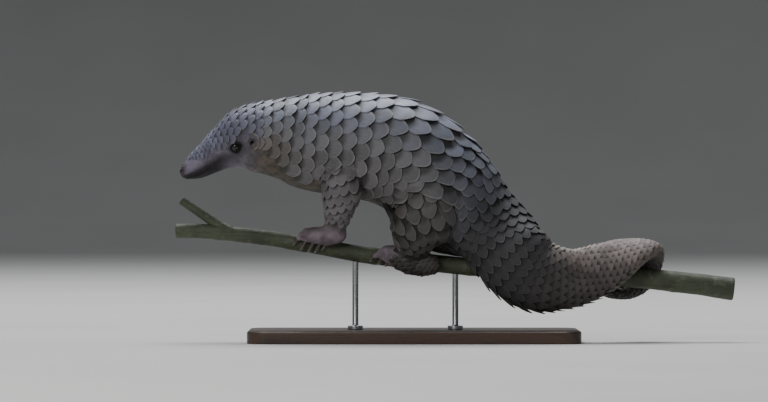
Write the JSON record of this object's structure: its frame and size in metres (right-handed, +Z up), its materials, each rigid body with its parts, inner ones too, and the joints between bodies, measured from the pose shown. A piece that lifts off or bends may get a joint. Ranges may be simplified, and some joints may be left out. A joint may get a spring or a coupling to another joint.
{
  "type": "pangolin model on a branch stand",
  "caption": "Life-size still model of a scaly pangolin walking along a cut branch, held over a flat base by short rods.",
  "frame": {"origin": "middle of the flat underside of the base", "axes": "+X from the head towards the tail, -Y towards the animal's left side, +Z up"},
  "size_m": [0.7277, 0.19, 0.3273],
  "materials": {
    "scales": "horn scales, satin",
    "skin": "bare skin, matt",
    "eye": "glossy",
    "claw": "horn, satin",
    "bark": "smooth bark",
    "rod": "brushed",
    "base": "dark stained wood, satin"
  },
  "bodies": {
    "root": {"branch": "bark", "branch_shoot": "bark", "ear_left": "skin", "ear_right": "skin", "eye_left": "eye", "eye_right": "eye", "foreclaw_left_1": "claw", "foreclaw_left_2": "claw", "foreclaw_left_3": "claw", "foreclaw_left_4": "claw", "foreclaw_left_5": "claw", "foreclaw_right_1": "claw", "foreclaw_right_2": "claw", "foreclaw_right_3": "claw", "foreclaw_right_4": "claw", "foreclaw_right_5": "claw", "forefoot_left": "skin", "forefoot_right": "skin", "foreleg_left": "scales", "foreleg_right": "scales", "head": "scales", "hindclaw_left_1": "claw", "hindclaw_left_2": "claw", "hindclaw_left_3": "claw", "hindclaw_left_4": "claw", "hindclaw_left_5": "claw", "hindclaw_right_1": "claw", "hindclaw_right_2": "claw", "hindclaw_right_3": "claw", "hindclaw_right_4": "claw", "hindclaw_right_5": "claw", "hindfoot_left": "skin", "hindfoot_right": "skin", "hindleg_left": "scales", "hindleg_right": "scales", "neck": "scales", "stand_base": "base", "stand_rod_1": "rod", "stand_rod_2": "rod", "tail_base": "scales", "tail_end": "scales", "tail_middle": "scales", "tail_tip": "scales", "torso": "scales"}
  },
  "joints": []
}
